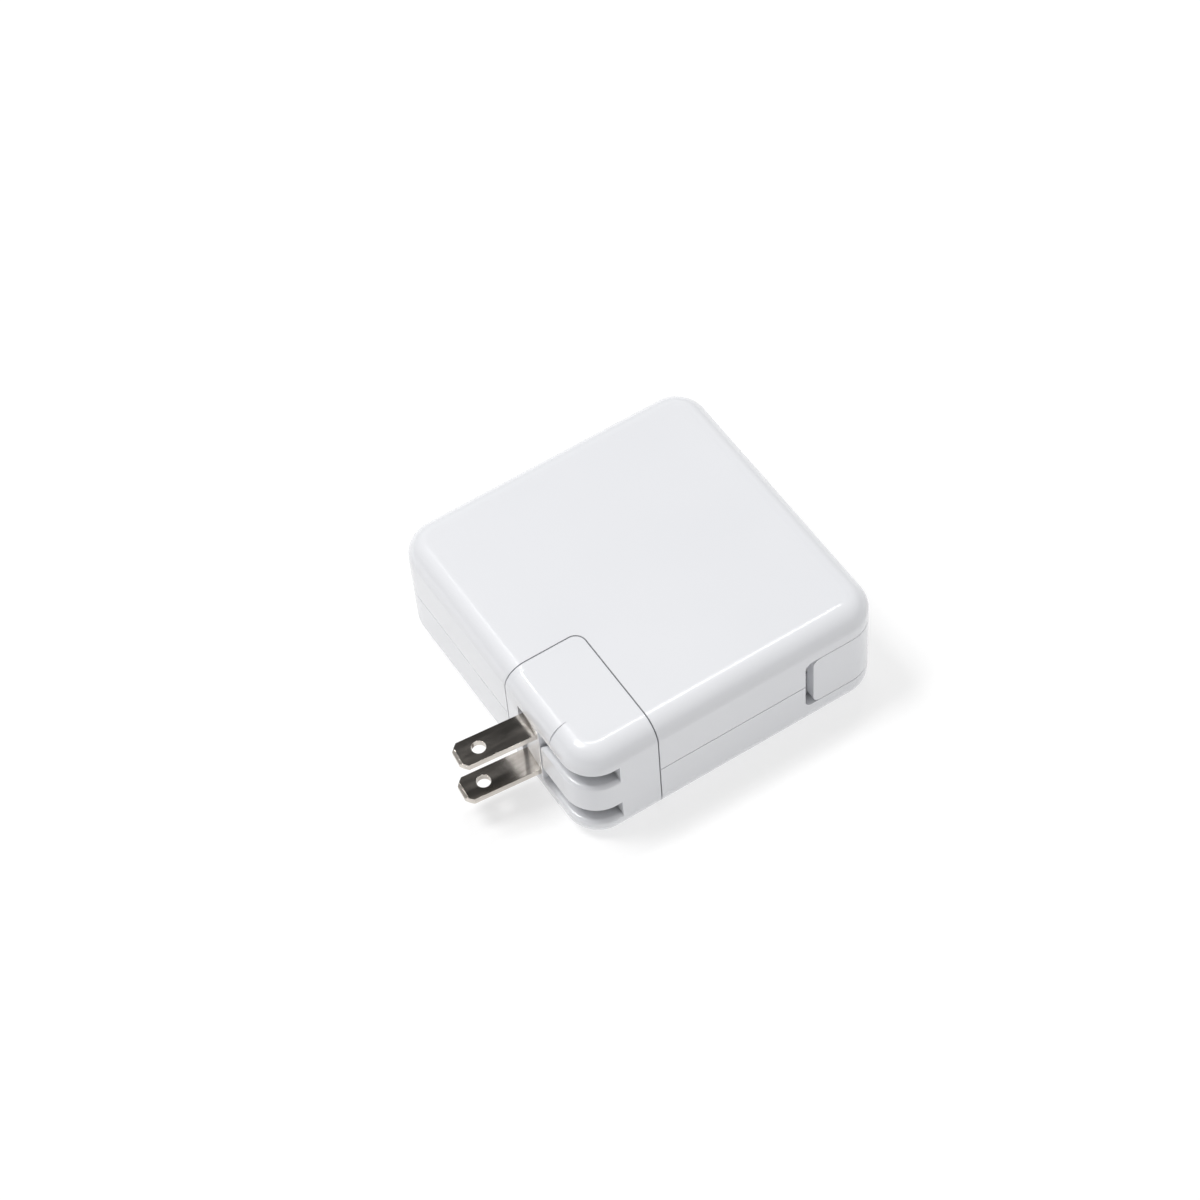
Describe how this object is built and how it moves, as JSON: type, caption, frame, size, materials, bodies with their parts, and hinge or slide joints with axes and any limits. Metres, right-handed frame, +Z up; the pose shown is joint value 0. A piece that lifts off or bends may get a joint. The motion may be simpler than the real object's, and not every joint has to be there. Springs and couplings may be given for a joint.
{
  "type": "laptop power adapter",
  "caption": "Square white laptop power adapter with a slide-off corner plug head, a folding pair of flat mains blades and two flip-out arms for winding the output lead.",
  "frame": {"origin": "centre of the flat underside of the square case, on the surface it lies on", "axes": "+Z up through the thickness, +X towards the face the output lead leaves, so the open blades point to -X and the face seen beside the plug head is -Y"},
  "size_m": [0.0907, 0.074, 0.0295],
  "materials": {
    "white_gloss": "gloss",
    "grommet": "satin",
    "blade_nickel": "polished",
    "pin_nickel": "polished",
    "steel": "satin",
    "contact_bronze": "satin",
    "black_moulding": "matte",
    "board": "satin",
    "ferrite": "matte",
    "copper_wire": "gloss",
    "winding_tape": "gloss",
    "capacitor_can": "gloss",
    "yellow_box": "satin",
    "blue_disc": "gloss",
    "heatsink_metal": "satin",
    "shield_foil": "bright",
    "fuse_glass": "polished"
  },
  "bodies": {
    "case": {"top_cover": "white_gloss", "bottom_cover": "white_gloss", "inlet_socket": "black_moulding", "inlet_pin_left": "pin_nickel", "inlet_pin_right": "pin_nickel", "guide_stud": "pin_nickel", "main_board": "board", "fuse": "fuse_glass", "surge_disc": "blue_disc", "choke_core": "ferrite", "choke_winding": "copper_wire", "line_capacitor": "yellow_box", "bridge_rectifier": "black_moulding", "bulk_capacitor": "capacitor_can", "transformer_core": "ferrite", "transformer_bobbin": "black_moulding", "transformer_winding": "winding_tape", "power_transistor": "black_moulding", "primary_heatsink": "heatsink_metal", "output_rectifier": "black_moulding", "output_heatsink": "heatsink_metal", "output_capacitor_1": "capacitor_can", "output_capacitor_2": "capacitor_can", "output_capacitor_3": "capacitor_can", "output_inductor": "copper_wire", "isolation_capacitor": "blue_disc", "optocoupler": "black_moulding", "control_chip": "black_moulding", "upper_shield": "shield_foil", "lower_shield": "shield_foil", "insulation_sheet": "winding_tape", "lead_gland": "grommet", "right_arm_pin": "steel", "left_arm_pin": "steel", "right_arm_spring": "steel", "left_arm_spring": "steel"},
    "plug_head": {"head_shell": "white_gloss", "head_back": "white_gloss", "retainer_plate": "steel", "upper_contact": "contact_bronze", "lower_contact": "contact_bronze", "blade_pivot_pin": "steel"},
    "blades": {"blade_carrier": "white_gloss", "upper_blade": "blade_nickel", "lower_blade": "blade_nickel"},
    "right_arm": {"right_arm": "white_gloss"},
    "left_arm": {"left_arm": "white_gloss"}
  },
  "joints": [
    {"name": "head_slide", "type": "slide", "parent": "case", "child": "plug_head", "axis": [-1, 0, 0], "range_m": [0, 0.022]},
    {"name": "blade_fold", "type": "hinge", "parent": "plug_head", "child": "blades", "pos_m": [-0.0328, -0.0157, 0.01475], "axis": [0, 0, 1], "range_deg": [0, 95.3]},
    {"name": "right_arm_swing", "type": "hinge", "parent": "case", "child": "right_arm", "pos_m": [0.0358, -0.0225, 0.01475], "axis": [0, 0, 1], "range_deg": [0, 90]},
    {"name": "left_arm_swing", "type": "hinge", "parent": "case", "child": "left_arm", "pos_m": [0.0358, 0.0225, 0.01475], "axis": [0, 0, -1], "range_deg": [0, 90]}
  ]
}
